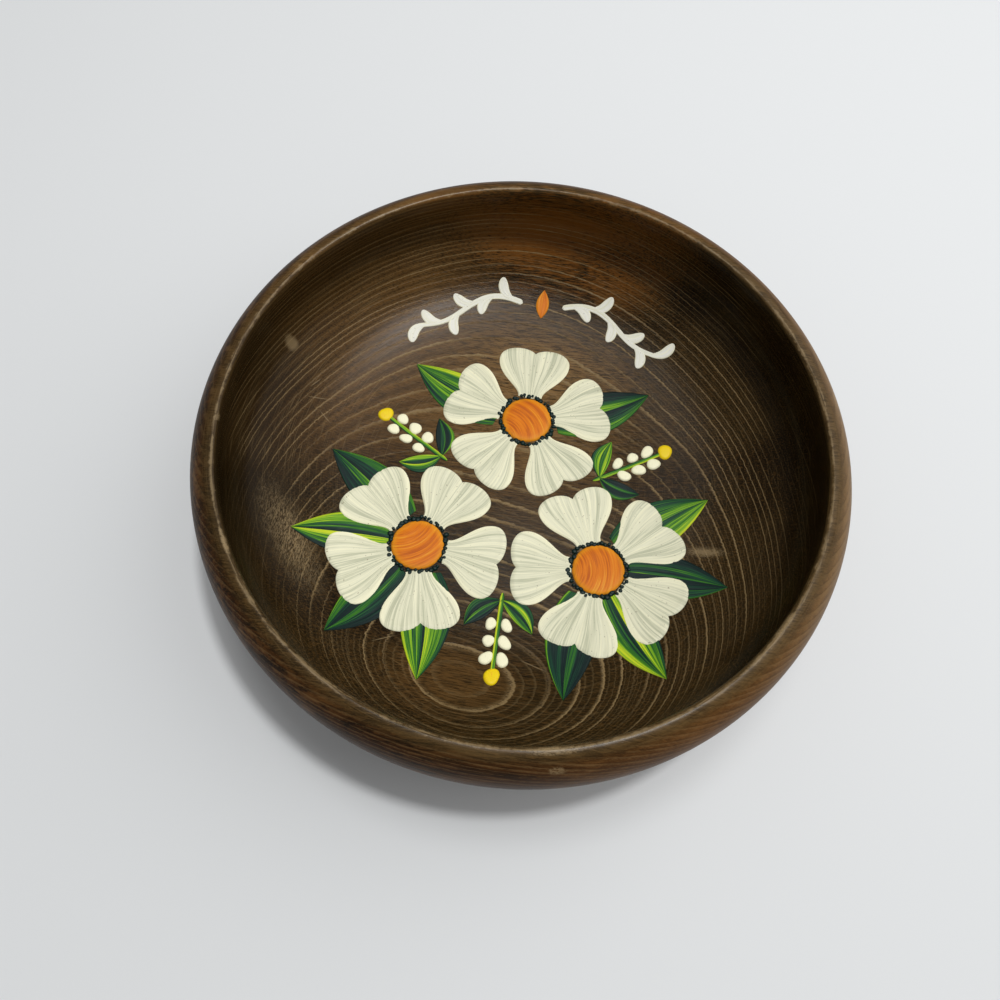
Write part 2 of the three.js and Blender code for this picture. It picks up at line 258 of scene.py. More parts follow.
class PaintLook(bpy.types.PropertyGroup):
    """Colours of the paints, and how thickly they lie."""

    petal_film: size("Petal film", "Thickness of a petal's paint", 0.00050)
    leaf_film: size("Leaf film", "Thickness of a leaf's paint", 0.00022)
    dot_film: size("Dot film", "Thickness of a dot of paint", 0.00060)
    sunk: size("Sunk", "How far a stroke's underside lies in the wood", 0.00015)
    cream: colour("Cream", "Body of the cream paint", "e6e4c6")
    cream_thin: colour("Thin cream", "Where the cream is thin", "b2b598")
    cream_edge: colour("Cream edge", "Where the cream lies thick", "faf6d2")
    speck: colour("Speck", "Specks of dirt in the cream", "6d5a3c")
    white: colour("White", "Body of the vines' white", "ecebe0")
    orange: colour("Orange", "Body of the orange paint", "dc7806")
    orange_deep: colour("Deep orange", "Streaks in the orange", "b0500f")
    orange_light: colour("Light orange", "Bright streaks in the orange", "eca62c")
    yellow: colour("Yellow", "Yellow paint", "f0d214")
    blue_black: colour("Blue black", "Darkest green", "0b211f")
    deep_green: colour("Deep green", "Dark green", "12402c")
    mid_green: colour("Mid green", "Green", "2f6b1e")
    light_green: colour("Light green", "Yellow green", "79ab22")
    lime: colour("Lime", "Lightest green", "c6d326")


class WoodLook(bpy.types.PropertyGroup):
    """Colours and figure of the stained wood."""

    ground: colour("Ground", "Stained wood between the rings", "291e0a")
    # The dark colour also paints shade on the end grain of the walls.
    dark: colour("Dark", "Dark patches of the stain", "140d04")
    warm: colour("Warm", "Where the stain is thin", "614522")
    pale: colour("Pale", "Lighter wood at the middle of the hollow", "7d5f38")
    # The pale colour is paler wood and also painted sheen at the hollow's middle.
    ring: colour("Ring", "Open wood along the rings", "87714d")
    # The far wall's colour is redder stain, also lightened as painted light where the lamps don't reach.
    far: colour("Far wall", "Redder stain at the far wall", "784919")
    shell: colour("Shell", "Stain on the outside", "341c07")
    shell_dark: colour("Dark shell", "Black streaks on the outside", "190f06")
    # The warm shell colour is thin stain outside and also painted light on the side towards the window.
    shell_warm_and_painted_light: colour("Warm shell", "Thin stain on the outside", "6d4a25")
    rim: colour("Rim", "Rubbed finish along the rim", "66502f")
    worn: colour("Worn", "Bare wood where the finish has worn off", "9c8662")
    ring_pitch: size("Ring pitch", "Height between two rings", 0.00136)


class StageLook(bpy.types.PropertyGroup):
    """Floor, light and camera."""

    floor_colour: colour("Floor", "The plain floor", "dddfe0")
    fade_start: size("Fade start", "From the bowl to where the floor begins to fade into the backdrop", 0.5)
    fade_end: size("Fade end", "From the bowl to where only the backdrop is left", 1.5)
    backdrop: amount("Backdrop", "How bright the plain backdrop looks, where 1 is white", 0.76)
    world_strength: amount("World strength", "Light from all round", 0.30)
    window_power: amount("Window", "Watts of the wide lamp to the right", 9.4)
    ceiling_power: amount("Ceiling", "Watts of the lamp overhead", 8.8)
    far_ceiling_power: amount("Far ceiling", "Watts of the weaker lamp behind it", 3.8)
    lens: amount("Lens", "Focal length in millimetres on a 36 mm sensor", 27)
    distance: size("Camera distance", "From the middle of the foot to the camera", 0.30812)
    elevation: turn("Camera elevation", "Height of the camera over the horizon", 66.96)
    roll: turn("Camera roll", "Turn of the camera about its own axis", 7.82)
    aim_right: amount("Aim right", "Pixels that the camera is turned to the side", 15.53)
    aim_up: amount("Aim up", "Pixels that the camera is turned upwards", -10.42)


GROUPS = {
    "bowl_shape": BowlShape,
    "posy_shape": PosyShape,
    "vine_shape": VineShape,
    "paint_look": PaintLook,
    "wood_look": WoodLook,
    "stage_look": StageLook,
}


class Value:
    """One output of a shader tree, with Python's operators on it."""

    def __init__(self, tree, socket):
        self.tree = tree
        self.socket = socket

    def _maths(self, operation, first, second=0.0):
        return add_node(self.tree, "ShaderNodeMath", {"operation": operation}, {0: first, 1: second})

    def __add__(self, other):
        return self._maths("ADD", self, other)

    def __radd__(self, other):
        return self._maths("ADD", other, self)

    def __sub__(self, other):
        return self._maths("SUBTRACT", self, other)

    def __rsub__(self, other):
        return self._maths("SUBTRACT", other, self)

    def __mul__(self, other):
        return self._maths("MULTIPLY", self, other)

    def __rmul__(self, other):
        return self._maths("MULTIPLY", other, self)

    def __truediv__(self, other):
        return self._maths("DIVIDE", self, other)

    def __pow__(self, other):
        return self._maths("POWER", self, other)

    def __abs__(self):
        return self._maths("ABSOLUTE", self)

    def floor(self):
        return self._maths("FLOOR", self)

    def fraction(self):
        return self._maths("FRACT", self)


def add_node(tree, kind, options=None, feeds=None, output=0):
    """Adds one node, sets it up, feeds its sockets with values or links, and gives one of its outputs."""
    node = tree.nodes.new(kind)
    for name, value in (options or {}).items():
        setattr(node, name, value)
    for name, value in (feeds or {}).items():
        if isinstance(value, Value):
            tree.links.new(value.socket, node.inputs[name])
        else:
            node.inputs[name].default_value = value
    return None if output is None else Value(tree, node.outputs[output])


class Finish:
    """A material under construction."""

    def __init__(self, name):
        self.material = bpy.data.materials.new(name)
        self.material.use_nodes = True
        self.tree = self.material.node_tree
        self.tree.nodes.clear()

    def node(self, kind, options=None, feeds=None, output=0):
        return add_node(self.tree, kind, options, feeds, output)

    def mix(self, factor, first, second):
        """A colour between two colours."""
        feeds = {0: factor, 6: as_socket(first), 7: as_socket(second)}
        return self.node("ShaderNodeMix", {"data_type": "RGBA"}, feeds, 2)

    def layered(self, body, *layers):
        """Lays colours over a colour, each given as how much it covers and the colour."""
        for cover, layer in layers:
            body = self.mix(cover, body, layer)
        return body

    def step(self, value, low, high, bottom=0.0, top=1.0):
        """Rises smoothly from bottom to top while the value goes from low to high."""
        feeds = {0: value, 1: low, 2: high, 3: bottom, 4: top}
        return self.node("ShaderNodeMapRange", {"interpolation_type": "SMOOTHSTEP"}, feeds)

    def noise(self, place, detail, roughness=0.5, scale=1.0):
        feeds = {"Vector": place, "Scale": scale, "Detail": detail, "Roughness": roughness}
        return self.node("ShaderNodeTexNoise", {}, feeds)

    def place(self, source, scale, rotation=(0, 0, 0)):
        """Scales, then turns a vector."""
        return self.node("ShaderNodeMapping", {}, {"Vector": source, "Rotation": rotation, "Scale": scale})

    def attribute(self, name):
        """A vector that the piece's mesh holds at each point."""
        return self.node("ShaderNodeAttribute", {"attribute_name": name}, {}, 1)

    def split(self, vector):
        """The three parts of a vector."""
        first = self.node("ShaderNodeSeparateXYZ", {}, {0: vector})
        node = first.socket.node
        return first, Value(self.tree, node.outputs[1]), Value(self.tree, node.outputs[2])

    def join(self, x, y, z):
        return self.node("ShaderNodeCombineXYZ", {}, {0: x, 1: y, 2: z})

    def bump(self, height, distance, strength):
        feeds = {"Height": height, "Distance": distance, "Strength": strength}
        return self.node("ShaderNodeBump", {}, feeds)

    def finish(self, colour, roughness, normal, others):
        """Feeds the shader. What is the same all over goes straight on its sockets."""
        feeds = {"Base Color": colour, "Roughness": roughness, "Normal": normal, **others}
        return self.surface(self.node("ShaderNodeBsdfPrincipled", {}, feeds))

    def surface(self, shader):
        self.node("ShaderNodeOutputMaterial", {}, {"Surface": shader}, None)
        return self.material


def as_socket(value):
    """A colour of three shares gets its fourth, and a link stays as it is."""
    return value if isinstance(value, Value) else (*tuple(value)[:3], 1.0)


def settings(name):
    return getattr(bpy.context.scene, name)


def make_piece(name, shape, material, slot, node):
    """Makes a smooth piece of points, faces and attributes, which stands for a node of the bowl's."""
    points, faces, attributes = shape
    mesh = bpy.data.meshes.new(name)
    mesh.from_pydata(points.tolist(), [], faces)
    for label, values in attributes.items():
        layer = mesh.attributes.new(label, "FLOAT_VECTOR", "POINT")
        layer.data.foreach_set("vector", values.astype(np.float32).ravel())
    mesh.shade_smooth()
    mesh.materials.append(material)
    mesh.validate()
    piece = bpy.data.objects.new(name, mesh)
    bpy.context.scene.collection.objects.link(piece)
    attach(piece, BODY)
    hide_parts(node)


def hollow_height(radius):
    """The wood's height: the waist, less the depth times the root of one less a power of the radius."""
    shape = settings("bowl_shape")
    waist = bowl_height - shape.waist_drop
    inside = bowl_radius - shape.wall
    flatness = np.sqrt(np.maximum(1 - (radius / inside) ** shape.squareness, 0))
    return waist - (waist - shape.floor) * flatness


def on_hollow(x, y, lift):
    """Points over the wood of the hollow, lifted along its normal, which is found by small steps."""
    radius = np.hypot(x, y)
    step = 1e-5
    slope = (hollow_height(radius + step) - hollow_height(np.maximum(radius - step, 0))) / (2 * step)
    reach = np.maximum(radius, 1e-9)
    scale = 1 / np.sqrt(1 + slope**2)
    return np.stack([
        x - lift * slope * scale * x / reach,
        y - lift * slope * scale * y / reach,
        hollow_height(radius) + lift * scale,
    ], -1)


def bowl_profile():
    """The turned outline from the underside's middle round to the hollow's middle.

    The foot is straight. The belly, the shoulder and the lip are quarter ellipses. The inner wall leans
    out as half a cosine wave, and the hollow is a superellipse. Each stretch has its own count of steps."""
    shape = settings("bowl_shape")
    foot, bevel, dip = shape.foot_diameter / 2, shape.foot_bevel, shape.foot_recess
    recess = foot - shape.foot_ring
    shoulder_foot = bowl_height - shape.shoulder_height
    crest = bowl_radius - shape.shoulder_width
    rounding = shape.rim_rounding
    mouth, lip_foot = crest - rounding, bowl_height - rounding
    inside = bowl_radius - shape.wall
    waist = bowl_height - shape.waist_drop

    def shares(steps):
        return np.linspace(0, 1, steps + 1)[1:]

    def line(start, end, steps):
        return np.linspace(start, end, steps + 1)[1:]

    def arc(centre, radii, first, steps):
        """A quarter ellipse about a centre, from an angle in degrees on."""
        angle = math.radians(first) + math.pi / 2 * shares(steps)
        return np.stack([centre[0] + radii[0] * np.cos(angle), centre[1] + radii[1] * np.sin(angle)], -1)

    corners = [(0, dip), (recess - dip, dip), (recess, 0)]
    corners += [(foot - bevel, 0), (foot, bevel), (foot, shape.foot_height)]
    base = [line(*stretch) for stretch in zip(corners, corners[1:], (10, 2, 4, 2, 2))]
    belly_radii = (bowl_radius - foot, shoulder_foot - shape.foot_height)
    belly = arc((foot, shoulder_foot), belly_radii, -90, 56)
    shoulder = arc((crest, shoulder_foot), (shape.shoulder_width, shape.shoulder_height), 0, 36)
    lip = arc((crest, lip_foot), (rounding, rounding), 90, 8)
    s = shares(24)
    lean = mouth + (inside - mouth) * (1 - np.cos(math.pi * s)) / 2
    overhang = np.stack([lean, lip_foot - (lip_foot - waist) * s], -1)
    a = math.pi / 2 * shares(100)
    radius = inside * np.maximum(np.cos(a), 0) ** (2 / shape.squareness)
    hollow = np.stack([radius, waist - (waist - shape.floor) * np.sin(a)], -1)
    return np.concatenate([corners[:1], *base, belly, shoulder, lip, overhang, hollow])


def ring_quads(rows, sides):
    """The faces between rings of points, where each ring follows the one before it."""
    i, j = np.meshgrid(np.arange(rows), np.arange(sides), indexing="ij")
    near, far = i * sides, (i + 1) * sides
    after = (j + 1) % sides
    return np.stack([near + j, near + after, far + after, far + j], -1).reshape(-1, 4)


def lathe(profile, sides):
    """Turns a profile about Z. Its first and last points are poles, each closed by a fan."""
    bearing = np.linspace(0, 2 * math.pi, sides, endpoint=False)
    rings = profile[1:-1]
    x = rings[:, :1] * np.cos(bearing)
    y = rings[:, :1] * np.sin(bearing)
    z = np.repeat(rings[:, 1:], sides, 1)
    body = np.stack([x, y, z], -1).reshape(-1, 3)
    points = np.concatenate([body, [(0, 0, profile[0, 1]), (0, 0, profile[-1, 1])]])
    around = np.arange(sides)
    following = (around + 1) % sides
    last = (len(rings) - 1) * sides
    low = np.stack([np.full(sides, len(body)), following, around], -1)
    high = np.stack([last + around, last + following, np.full(sides, len(body) + 1)], -1)
    return points, ring_quads(len(rings) - 1, sides).tolist() + low.tolist() + high.tolist()


def run_along(points):
    """How far each point of a line lies from its first one."""
    return np.concatenate([[0], np.cumsum(np.hypot(*np.diff(points, axis=0).T))])


def turning(profile, sides):
    """What the wood's finish reads at each point of the lathe.

    First comes the way along the profile from the rim's crest in mm, inwards positive. Then comes how
    squarely the surface cuts the grain, which runs along X."""
    run = run_along(profile) / MM
    run = run - run[np.argmax(profile[:, 1])]
    heading = np.gradient(profile, axis=0)
    heading = heading / np.hypot(*heading.T)[:, None]
    bearing = np.linspace(0, 2 * math.pi, sides, endpoint=False)
    end_grain = np.abs(heading[1:-1, 1:] * np.cos(bearing))
    way = run[1:-1, None] + 0 * end_grain
    body = np.stack([way, end_grain, 0 * way], -1).reshape(-1, 3)
    return np.concatenate([body, [(run[0], 0, 0), (run[-1], 0, 0)]])


def closed_sheet(top, bottom):
    """Joins two grids of points, one over the other, into a closed body whose faces point out.

    Rows run along a stroke, and columns go from its left edge to its right one."""
    rows, columns = top.shape[:2]
    points = np.concatenate([top.reshape(-1, 3), bottom.reshape(-1, 3)])
    index = np.arange(rows * columns).reshape(rows, columns)
    quads = np.stack([index[:-1, :-1], index[:-1, 1:], index[1:, 1:], index[1:, :-1]], -1).reshape(-1, 4)
    under = quads[:, ::-1] + rows * columns
    edge = np.concatenate([index[0, :-1], index[:-1, -1], index[-1, :0:-1], index[:0:-1, 0]])
    after = np.roll(edge, -1)
    band = np.stack([edge + rows * columns, after + rows * columns, after, edge], -1)
    return points, np.concatenate([quads, under, band]).tolist()


def flat_top(across, power):
    """1 in the middle and 0 at both edges: the root of one less a power of the share across."""
    return np.sqrt(np.maximum(1 - np.abs(across) ** power, 0))


def bell(value, middle, width):
    """1 in the middle, and a bell curve to both sides of it."""
    return np.exp(-((value - middle) / width) ** 2)


def bristle_marks(across, along, waves, swing, rng):
    """A sum of cosines across a stroke, whose phases swing slowly along it."""
    marks = 0
    for wave in waves:
        phase, drift = rng.uniform(0, 2 * math.pi, 2)
        marks = marks + np.cos(wave * math.pi * across + phase + swing * np.sin(drift + 2.2 * along))
    return marks


def paint_film(plan, lift, across, along, way_across, way_along, rng):
    """A closed film between its lifted top and its underside, which lies sunk in the wood.

    Its finish reads the shares across and along, and the ways across and along in mm with a tone, which set
    each stroke's streaks apart."""
    x, y = plan[..., 0], plan[..., 1]
    sunk = np.full_like(lift, -settings("paint_look").sunk)
    points, faces = closed_sheet(on_hollow(x, y, lift), on_hollow(x, y, sunk))
    offset, tone = rng.uniform(0, 50), rng.uniform(0, 1)

    def on_both_sides(*parts):
        grid = np.stack([part + 0 * lift for part in parts], -1).reshape(-1, 3)
        return np.concatenate([grid, grid])

    brush = on_both_sides(way_across / MM + offset, way_along / MM, tone)
    return points, faces, {"brush": brush, "stroke": on_both_sides(across, along, 0)}


def brush_stroke(left, right, film, rng, columns):
    """A stroke between two edges that run the same way, each a row of plan points.

    Its top is flat and rounds off to the edges. It has a low ridge just inside them, and bristle marks."""
    across = np.linspace(-1, 1, columns)[None, :]
    along = np.linspace(0, 1, len(left))[:, None]
    mix = ((across + 1) / 2)[..., None]
    plan = left[:, None, :] * (1 - mix) + right[:, None, :] * mix
    swell = flat_top(across, 6) * flat_top(2 * along - 1, 14)
    ridge = 0.28 * bell(np.abs(across), 0.84, 0.09)
    marks = 0.09 * bristle_marks(across, along, STROKE_BRISTLES, 1.5, rng)
    lift = film * (swell * (0.85 + ridge + marks) + 0.06)
    half = np.max(np.hypot(*(right - left).T)) / 2
    run = run_along((left + right) / 2)[:, None]
    return paint_film(plan, lift, across, along, across * half, run, rng)


def heart_petal(bearing, centre, rng):
    """A petal with a narrow foot, full cheeks and a notch in its outer edge.

    Its sides and its crown are cubic curves. The grid between them is a Coons patch: the sides ruled
    across, plus the foot and the crown ruled along, less the patch of the four corners."""
    shape = settings("posy_shape")
    rows, columns = PETAL_STEPS
    sway = rng.uniform(-1, 1, 4)
    start = shape.petal_start
    length = (shape.petal_tip - start) * (1 + 0.025 * sway[0])
    tip = start + length
    cheek = start + length * (shape.petal_cheek + 0.02 * sway[1])
    half = shape.petal_width / 2 * (1 + 0.02 * sway[2])
    foot = shape.petal_foot / 2
    notch = shape.petal_notch * (1 + 0.25 * sway[3])
    t = eased(rows)
    last = math.pi / 2 * 0.97
    u = np.sin(np.linspace(last, -last, columns)) / math.sin(last)
    foot_pull = (start + FOOT_PULL * length, foot)
    cheek_pull = (cheek - CHEEK_PULL * length, half)
    side = bezier(t, (start, foot), foot_pull, cheek_pull, (cheek, half))
    lobe = (tip + notch / 2, half * LOBE_SHARE)
    crown = bezier(1 - np.abs(u), (cheek, half), (tip, half), lobe, (tip - notch, 0))
    crown[:, 1] *= np.sign(u)
    base = np.stack([start + 0.0006 * (u**2 - 1), foot * u], -1)
    over = ((u + 1) / 2)[None, :, None]
    way = t[:, None, None]
    ruled = (side * (1, -1))[:, None] * (1 - over) + side[:, None] * over
    plan = ruled + base[None] * (1 - way) + crown[None] * way - ruled[:1] * (1 - way) - ruled[-1:] * way
    plan = turned(plan.reshape(-1, 2), bearing, centre).reshape(rows, columns, 2)
    across = u[None, :]
    along = t[:, None]
    swell = flat_top(across, 7) * flat_top(2 * along - 1, 16)
    ridge = 0.30 * bell(np.abs(across), 0.88, 0.07) + 0.30 * bell(along, 0.95, 0.03)
    crease = 0.22 * bell(across, 0.03 * sway[3], 0.05) * along**0.5
    marks = 0.07 * bristle_marks(across, along, PETAL_BRISTLES, 1.2, rng)
    body = np.maximum(0.85 + ridge - crease + marks, 0.62)
    lift = settings("paint_look").petal_film * (swell * body + 0.05)
    return paint_film(plan, lift, across, along, across * half, along * length, rng)


def gather(bodies):
    """Puts several closed bodies into one mesh."""
    starts = np.cumsum([0] + [len(points) for points, _, _ in bodies]).tolist()
    faces = [[corner + start for corner in face] for start, body in zip(starts, bodies) for face in body[1]]
    labels = bodies[0][2]
    attributes = {label: np.concatenate([body[2][label] for body in bodies]) for label in labels}
    return np.concatenate([points for points, _, _ in bodies]), faces, attributes


def bow(t):
    """A parabola that is 1 in the middle and 0 at both ends."""
    return 4 * t * (1 - t)


def eased(rows):
    """Shares from 0 to 1 that crowd towards both ends, where a stroke rounds off."""
    return (1 - np.cos(np.linspace(0, math.pi, rows))) / 2


def bezier(t, *corners):
    """A curve through plan points given by its control polygon, by the Bernstein sum."""
    degree = len(corners) - 1
    total = 0
    for i, corner in enumerate(corners):
        weight = math.comb(degree, i) * t**i * (1 - t) ** (degree - i)
        total = total + weight[:, None] * np.asarray(corner)[None, :]
    return total


def edges_of(middle, half):
    """The two edges of a band, at half its width to each side of its middle line."""
    heading = np.gradient(middle, axis=0)
    heading = heading / np.maximum(np.hypot(*heading.T), 1e-12)[:, None]
    normal = np.stack([-heading[:, 1], heading[:, 0]], -1)
    return middle + normal * half[:, None], middle - normal * half[:, None]


def comma(t, width, head, tail):
    """Half the width of a comma stroke: a round head, a slow taper to a tail's share, and a rounded end."""
    end = 0.07
    rise = np.sqrt(np.clip(1 - (1 - np.minimum(t / head, 1)) ** 2, 0, 1))
    fall = tail + (1 - tail) * np.cos(np.clip((t - head) / (1 - head), 0, 1) * math.pi / 2) ** 0.9
    ending = np.sqrt(np.clip(1 - np.maximum((t - 1 + end) / end, 0) ** 2, 0.05, 1))
    return width / 2 * np.maximum(rise * fall * ending, 0.03)


def direction(bearing):
    """The direction of a bearing in plan."""
    return np.array([math.cos(bearing), math.sin(bearing)])


def turned(points, bearing, centre):
    """Turns plan points by a bearing, then moves them to a centre."""
    c, s = math.cos(bearing), math.sin(bearing)
    return points @ np.array([[c, s], [-s, c]]) + np.asarray(centre)


def blossom_centre(number):
    low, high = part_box(f"blossom_{number}_eye")
    return np.array([(low.x + high.x) / 2, (low.y + high.y) / 2])


def posy_middle():
    return np.mean([blossom_centre(number) for number in BLOSSOM_NUMBERS], axis=0)


def blossom_bearing(number):
    x, y = blossom_centre(number) - posy_middle()
    return math.atan2(y, x)


def streaks(paint, across, along, detail=3.0):
    """Fine lines along a brush stroke, from 0 to 1."""
    return paint.noise(paint.place(paint.attribute("brush"), (across, along, TONE_SPREAD)), detail, 0.65)


def across_stroke(paint):
    """How far across its stroke a point lies, from -1 to 1."""
    return paint.split(paint.attribute("stroke"))[0]


def cream_finish(name, body_colour, thin_colour):
    """Cream or white: thin and thick in streaks, thick at the stroke's edges, with specks of dirt."""
    look = settings("paint_look")
    paint = Finish(name)
    fine, broad = streaks(paint, 1.7, 0.04), streaks(paint, 0.6, 0.02, 1.0)
    load = fine * 0.7 + broad * 0.4
    edge = paint.step(abs(across_stroke(paint)), 0.70, 0.98)
    speck = paint.noise(paint.attribute("brush"), 1.0, scale=1.1)
    body = paint.layered(
        body_colour,
        (paint.step(load, 0.50, 0.68) * (1 - edge * 0.8) * 0.8, thin_colour),
        (paint.step(load, 0.50, 0.40) * 0.6, look.cream_edge),
        (edge * 0.8, look.cream_edge),
        (paint.step(speck, 0.71, 0.76) * 0.6, look.speck),
    )
    normal = paint.bump(fine * 0.7 + broad * 0.3, 0.00024, 0.8)
    return paint.finish(body, 0.36 + 0.2 * fine, normal, {"Specular IOR Level": 0.2})


def orange_finish():
    """Orange with deep and light streaks, lighter where it thins out at the stroke's edges."""
    look = settings("paint_look")
    paint = Finish("brushed_orange")
    fine, broad = streaks(paint, 1.6, 0.07), streaks(paint, 0.45, 0.03, 1.0)
    load = fine * 0.7 + broad * 0.4
    edge = paint.step(abs(across_stroke(paint)), 0.72, 1.0)
    body = paint.layered(
        look.orange,
        (paint.step(load, 0.50, 0.72) * 0.85, look.orange_deep),
        (paint.step(load, 0.50, 0.36) * 0.7, look.orange_light),
        (edge * 0.5, look.orange_light),
    )
    normal = paint.bump(fine * 0.7 + broad * 0.3, 0.0003, 0.9)
    return paint.finish(body, 0.36 + 0.2 * fine, normal, {"Specular IOR Level": 0.16})


def green_finish(name, shift):
    """Double loaded green: dark on one side of the stroke, yellow green on the other, streaked along it."""
    look = settings("paint_look")
    paint = Finish(name)
    fine, broad = streaks(paint, 1.5, 0.03), streaks(paint, 0.4, 0.015, 1.0)
    load = across_stroke(paint) * 0.24 + 0.5 + (fine - 0.5) * 1.1 + (broad - 0.5) * 0.7 + shift
    body = paint.layered(
        look.blue_black,
        (paint.step(load, 0.26, 0.44), look.deep_green),
        (paint.step(load, 0.42, 0.56), look.mid_green),
        (paint.step(load, 0.58, 0.74), look.light_green),
        (paint.step(load, 0.76, 0.90), look.lime),
    )
    normal = paint.bump(fine, 0.0003, 0.8)
    return paint.finish(body, 0.34 + 0.2 * fine, normal, {"Specular IOR Level": 0.14})


def dab_finish(name, body, other):
    """A paint put on in dabs: nearly one colour, with a little of another where the brush dragged."""
    paint = Finish(name)
    fine = streaks(paint, 2.0, 0.4)
    shade = paint.mix(paint.step(fine, 0.5, 0.7) * 0.5, body, other)
    return paint.finish(shade, 0.4, paint.bump(fine, 0.0001, 0.6), {"Specular IOR Level": 0.18})


class BowlWood(Finish):
    """Stained, ring-porous wood, worked out in the blank that the bowl was turned from.

    Lengths are in mm here, and the grain runs along X. The way from the rim's crest is positive inwards."""

    def __init__(self):
        super().__init__("ringed_wood")
        self.look = settings("wood_look")
        self.mm = self.place(self.node("ShaderNodeTexCoord", {}, {}, 3), (1 / MM, 1 / MM, 1 / MM))
        self.x, self.y, self.z = self.split(self.mm)
        self.crest, self.end_grain, _ = self.split(self.attribute("turning"))
        self.inside = self.step(self.crest, 0.5, 3)
        self.outside = self.step(self.crest, 0, -6)
        self.upper = self.step(self.y - self.x * 0.4, 10, 50)
        self.left = self.step(self.x, -5, -55)
        self.fibre = self.figure((0.17, 2.2, 2.2), 3.0, 0.62)
        self.grain = self.figure((0.9, 4.5, 4.5), 2.0, 0.7)
        self.streak = self.figure((0.05, 0.40, 0.75), 4.0, 0.65)
        self.patch = self.figure((0.012, 0.035, 0.035), 2.0)
        self.fleck = self.figure((0.25, 0.25, 0.25), 4.0, 0.7)
        self.tool = self.turned_figure(3.4, 0.05, 2.0)
        self.rubbed = self.turned_figure(1.3, 0.07, 3.0)
        self.oval = self.step(self.mark(*OVAL_RINGS), 1.3, 0.6) * self.inside
        self.rings = self.growth_rings()
        self.saw = self.rings.fraction()
        self.line = self.ring_lines()

    def figure(self, scale, detail, roughness=0.5, rotation=(0, 0, 0)):
        """Noise in the wood, drawn out where its scale is small."""
        return self.noise(self.place(self.mm, scale, rotation), detail, roughness)

    def turned_figure(self, across, around, detail):
        """Noise drawn out round the bowl, as turning and handling leave it."""
        place = self.join(self.crest * across, self.x * around, self.y * around)
        return self.noise(place, detail, 0.7)

    def mark(self, centre, degrees, half_length, half_width):
        """How far a point lies from a mark's middle, where 1 is the mark's edge.

        The mark is seen from above, because its third half axis is a metre long."""
        feeds = {
            "Vector": self.mm,
            "Location": (*centre, 0),
            "Rotation": (0, 0, math.radians(degrees)),
            "Scale": (half_length, half_width, 1000),
        }
        local = self.node("ShaderNodeMapping", {"vector_type": "TEXTURE"}, feeds)
        return self.node("ShaderNodeVectorMath", {"operation": "LENGTH"}, {0: local}, 1)

    def growth_rings(self):
        """Counts the growth rings, nearly level sheets that sag along the grain and roll over across it."""
        x, y, z = self.x, self.y, self.z
        drift = self.figure((0.010, 0.016, 0.016), 1.0) - 0.5
        jag = (self.figure((0.25, 1.1, 1.1), 3.0) - 0.5) * (0.40 - 0.24 * self.oval)
        sheet = z + x * (0.03 + 0.000174 * x) + y * (0.166 - 0.00096 * y)
        high = self.step(z, 10, 60, 0, 50)
        sheet = sheet - 0.0045 * high * high
        rings = (sheet + 2.4 * drift + jag) / (self.look.ring_pitch / MM)
        gaps = self.noise(self.join(rings * 0.43, x * 0.004, y * 0.004), 0.0) - 0.5
        return rings + 1.3 * gaps

    def ring_lines(self):
        """The open wood at the end of each ring, inside the bowl."""
        wider = self.left * (0.04 - 0.05 * self.upper) + self.oval * 0.03
        line = self.step(self.saw + (self.grain - 0.5) * 0.25 - wider, 0.81, 0.93)
        return line * self.step(self.saw, 1.0, 0.96) * self.step(self.y, -102, -86, 0.5, 1.0) * self.inside

    def stain(self):
        """The hollow's stain: dark patches, a thin and a paler middle with painted sheen, a redder far wall
        with painted light.
        """
        look, x, y, left, upper = self.look, self.x, self.y, self.left, self.upper
        fibre, grain, patch = self.fibre, self.grain, self.patch
        # The thin middle and the paler middle are partly stain and partly painted sheen.
        middle = self.step(self.mark(*THIN_STAIN_AND_SHEEN), 1.15, 0.2) * self.inside
        centre = self.step(self.mark(*PALE_WOOD_AND_SHEEN) + (patch - 0.5) * 0.8, 1.2, 0.3) * self.inside
        heart = self.step(self.mark(*OVAL_HEART) + (patch - 0.5) * 0.6, 1.25, 0.35) * self.inside
        # The far wall is redder stain and also lightened as painted light, because the lamps don't reach
        # it.
        far = self.step(x, 70, 10, 0.45, 1.0) * self.step(y + (patch - 0.5) * 24, 74, 98)
        between = self.step(abs(self.saw + (grain - 0.5) * 0.4 - 0.35), 0.32, 0.10)
        return self.layered(
            look.dark,
            (self.step(patch + (grain - 0.5) * 0.9, 0.30, 0.62), look.ground),
            # The thin middle's warm colour is partly painted sheen.
            (self.step(fibre, 0.48, 0.66) * (0.36 + 0.5 * middle), look.warm),
            (middle * 0.35, look.warm),
            # Paler wood with painted sheen at the hollow's middle.
            (centre * self.step(fibre + (grain - 0.5) * 0.5, 0.40, 0.58, 0.2, 0.95), look.pale),
            (heart * self.step(fibre, 0.34, 0.60, 0.2, 0.8) * 0.75, look.warm),
            (self.step(fibre, 0.46, 0.34) * (0.8 - 0.4 * heart), look.dark),
            (self.step(grain, 0.54, 0.72) * 0.45, look.warm),
            (far * self.step(fibre + (patch - 0.5), 0.32, 0.62) * 0.9, look.far),
            # The upper left wall is warmer and lighter: partly thin stain, partly painted light.
            (upper * left * self.step(fibre, 0.30, 0.58, 0.25, 0.95), look.warm),
            # The lower left wall is darker.
            (self.step(x, -70, -100) * self.step(y, 60, 20) * 0.6, look.dark),
            (between * upper * left * 0.38, look.dark),
        )

